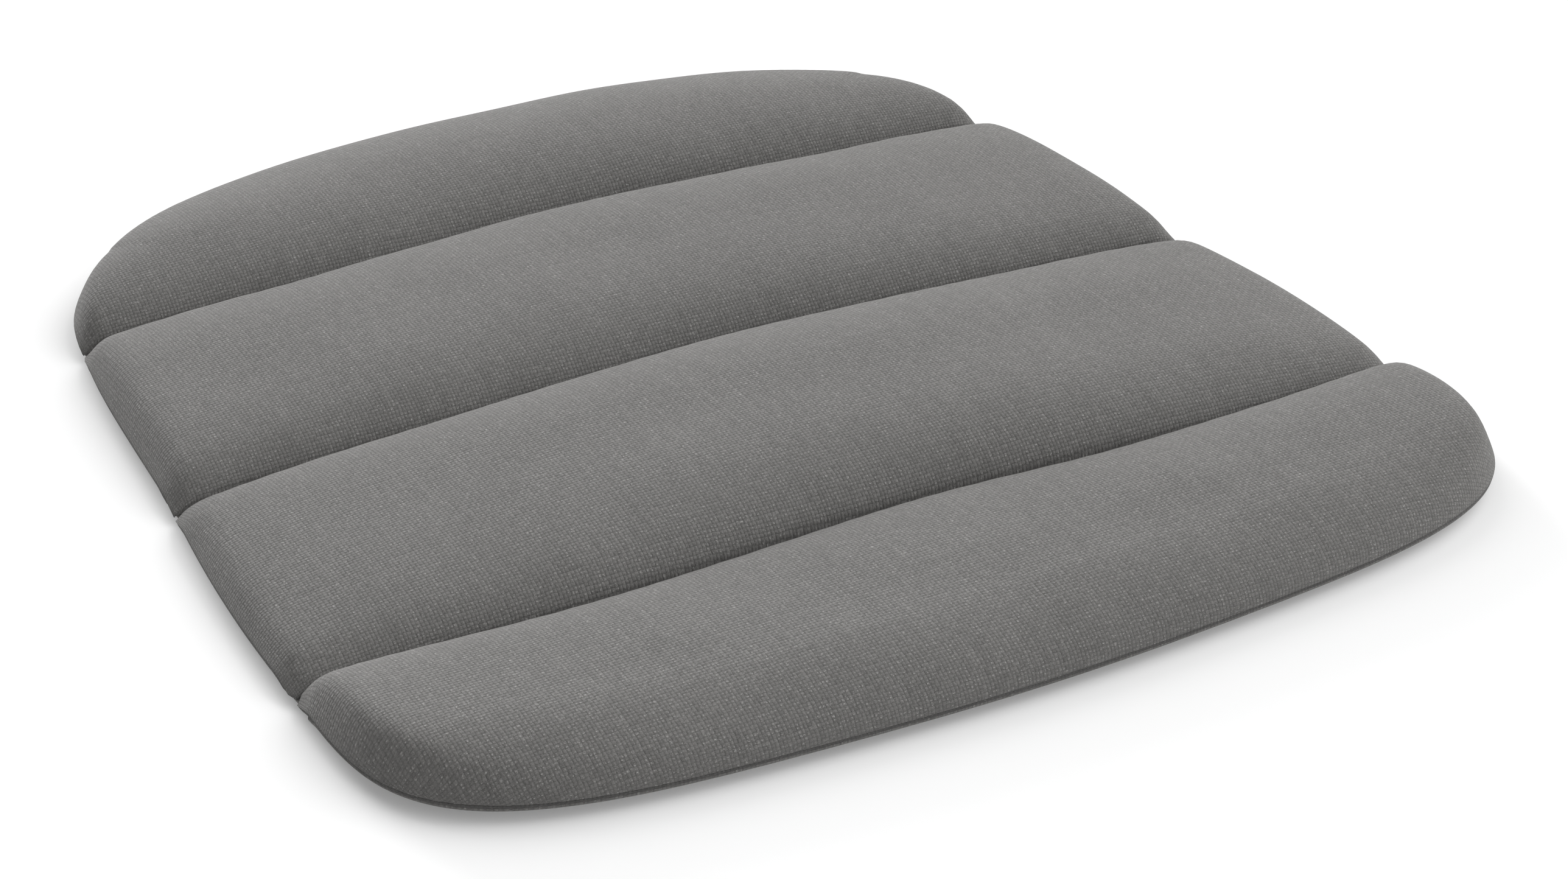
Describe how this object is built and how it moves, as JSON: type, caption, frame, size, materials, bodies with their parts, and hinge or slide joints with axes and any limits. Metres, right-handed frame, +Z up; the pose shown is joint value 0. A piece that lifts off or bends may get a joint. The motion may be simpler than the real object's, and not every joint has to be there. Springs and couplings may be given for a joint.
{
  "type": "channel-quilted kneeling pad",
  "caption": "Soft woven-fabric pad of parallel padded rolls joined by sewn seams that fold, for kneeling or sitting on hard ground.",
  "frame": {"origin": "centre of the underside, on the ground", "axes": "+X along the rolls and seams, +Y from the near blunt edge to the far rounded edge, +Z up"},
  "size_m": [0.4442, 0.4712, 0.0281],
  "materials": {
    "woven_fabric": "matt plain-woven melange, dark grey with pale flecks",
    "underside_fabric": "matt plain weave",
    "wadding": "soft fibre",
    "foam": "open-cell foam",
    "seam_allowance": "matt plain weave",
    "thread": "twisted polyester thread"
  },
  "bodies": {
    "roll_mid_front": {"cover_mid_front": "woven_fabric", "underside_mid_front": "underside_fabric", "wadding_mid_front": "wadding", "foam_mid_front": "foam", "edge_seam_mid_front_left": "seam_allowance", "edge_seam_mid_front_right": "seam_allowance"},
    "roll_front": {"cover_front": "woven_fabric", "underside_front": "underside_fabric", "wadding_front": "wadding", "foam_front": "foam", "edge_seam_front": "seam_allowance", "seam_thread_front": "thread"},
    "roll_mid_back": {"cover_mid_back": "woven_fabric", "underside_mid_back": "underside_fabric", "wadding_mid_back": "wadding", "foam_mid_back": "foam", "edge_seam_mid_back_left": "seam_allowance", "edge_seam_mid_back_right": "seam_allowance", "seam_thread_middle": "thread"},
    "roll_back": {"cover_back": "woven_fabric", "underside_back": "underside_fabric", "wadding_back": "wadding", "foam_back": "foam", "edge_seam_back": "seam_allowance", "seam_thread_back": "thread"}
  },
  "joints": [
    {"name": "front_seam_fold", "type": "hinge", "parent": "roll_mid_front", "child": "roll_front", "pos_m": [0, -0.1259, 0.003], "axis": [1, 0, 0], "range_deg": [-30, 90]},
    {"name": "middle_seam_fold", "type": "hinge", "parent": "roll_mid_front", "child": "roll_mid_back", "pos_m": [0, 0.0059, 0.003], "axis": [-1, 0, 0], "range_deg": [-30, 90]},
    {"name": "back_seam_fold", "type": "hinge", "parent": "roll_mid_back", "child": "roll_back", "pos_m": [0, 0.1319, 0.003], "axis": [-1, 0, 0], "range_deg": [-30, 90]}
  ]
}
